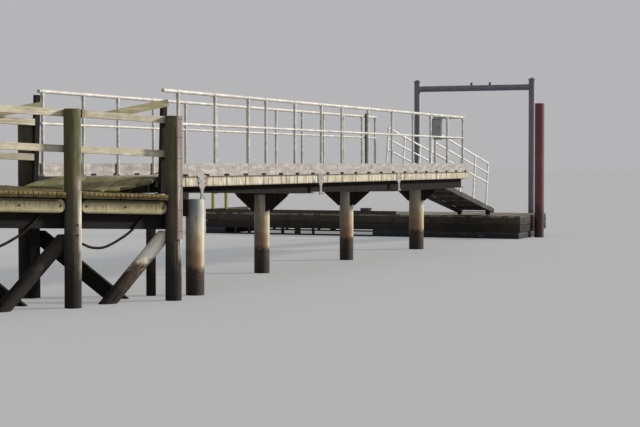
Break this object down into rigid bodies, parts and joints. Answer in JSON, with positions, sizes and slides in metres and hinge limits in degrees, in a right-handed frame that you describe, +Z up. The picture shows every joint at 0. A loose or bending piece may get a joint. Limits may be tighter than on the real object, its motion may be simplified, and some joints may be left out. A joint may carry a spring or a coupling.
{
  "type": "jetty",
  "caption": "Timber and steel jetty: skewed plank approach, railed walkway on columns, hinged gangway and a floating stage held by a guide frame.",
  "frame": {"origin": "centre of the foot of column 2, at the water's surface under the walkway's centreline", "axes": "+X runs seaward along the walkway, +Y to its rear side (away from the viewer of the picture), +Z up"},
  "size_m": [27.0414, 8.1829, 3.76],
  "materials": {
    "approach_timber": "weathered and mossy timber",
    "column_steel": "weathered pale coating with an orange tide band and dark weed below",
    "concrete": "pale weathered concrete with white and orange streaks",
    "dark_steel": "dark rusty coating",
    "dark_timber": "dark tarred pile",
    "deck_timber": "grey-brown weathered boards",
    "float_plastic": "dull grey",
    "grey_steel": "dark grey matt paint",
    "railing_metal": "dull galvanised",
    "red_steel": "dull dark red paint",
    "rope_fibre": "wet brown rope",
    "white_metal": "white paint"
  },
  "bodies": {
    "jetty": {"column_1": "column_steel", "column_2": "column_steel", "column_3": "column_steel", "column_4": "column_steel", "centre_prop": "dark_timber", "crosshead_1": "dark_steel", "crosshead_2": "dark_steel", "crosshead_3": "dark_steel", "crosshead_4": "dark_steel", "beam_near": "dark_steel", "beam_rear": "dark_steel", "head_beam": "dark_steel", "deck_bay_1": "concrete", "deck_bay_2": "concrete", "deck_bay_3": "concrete", "fascia_near": "concrete", "fascia_rear": "concrete", "kerb_near": "concrete", "kerb_rear": "concrete", "joint_straps": "railing_metal", "railing_near": "railing_metal", "railing_rear": "railing_metal", "railing_end": "railing_metal", "side_post": "dark_timber", "control_box": "railing_metal", "hinge_brackets": "grey_steel", "guide_leg_near": "grey_steel", "guide_leg_rear": "grey_steel", "guide_beam": "grey_steel", "red_pile": "red_steel", "piles_near": "approach_timber", "piles_far": "approach_timber", "corner_pile": "dark_timber", "main_beams": "approach_timber", "cross_timbers": "approach_timber", "edge_timbers": "approach_timber", "approach_deck": "approach_timber", "ramp_deck": "approach_timber", "ramp_bearers": "approach_timber", "rails_near": "approach_timber", "rails_far": "approach_timber", "sloping_rails": "approach_timber", "tall_posts": "approach_timber", "round_braces": "approach_timber", "bent_braces": "approach_timber", "facing_board": "approach_timber", "rope_1": "rope_fibre", "rope_2": "rope_fibre"},
    "gangway": {"gangway_frame": "grey_steel", "gangway_deck": "deck_timber", "gangway_rail_near": "white_metal", "gangway_rail_rear": "white_metal", "gangway_rollers": "float_plastic"},
    "stage": {"stage_deck": "deck_timber", "stage_frame": "deck_timber", "stage_floats": "float_plastic", "stage_posts": "deck_timber", "stage_box": "grey_steel", "guide_arms": "grey_steel", "guide_bars": "grey_steel"}
  },
  "joints": [
    {"name": "gangway_hinge", "type": "hinge", "parent": "jetty", "child": "gangway", "pos_m": [7.59, 0.35, 1.44], "axis": [0, -1, 0], "range_deg": [0, 7.5]},
    {"name": "stage_rise", "type": "slide", "parent": "jetty", "child": "stage", "axis": [0, 0, 1], "range_m": [0, 0.6]}
  ],
  "couplings": [
    {"joint": "gangway_hinge", "follows": "stage_rise", "rad_per_m": 0.21159}
  ]
}
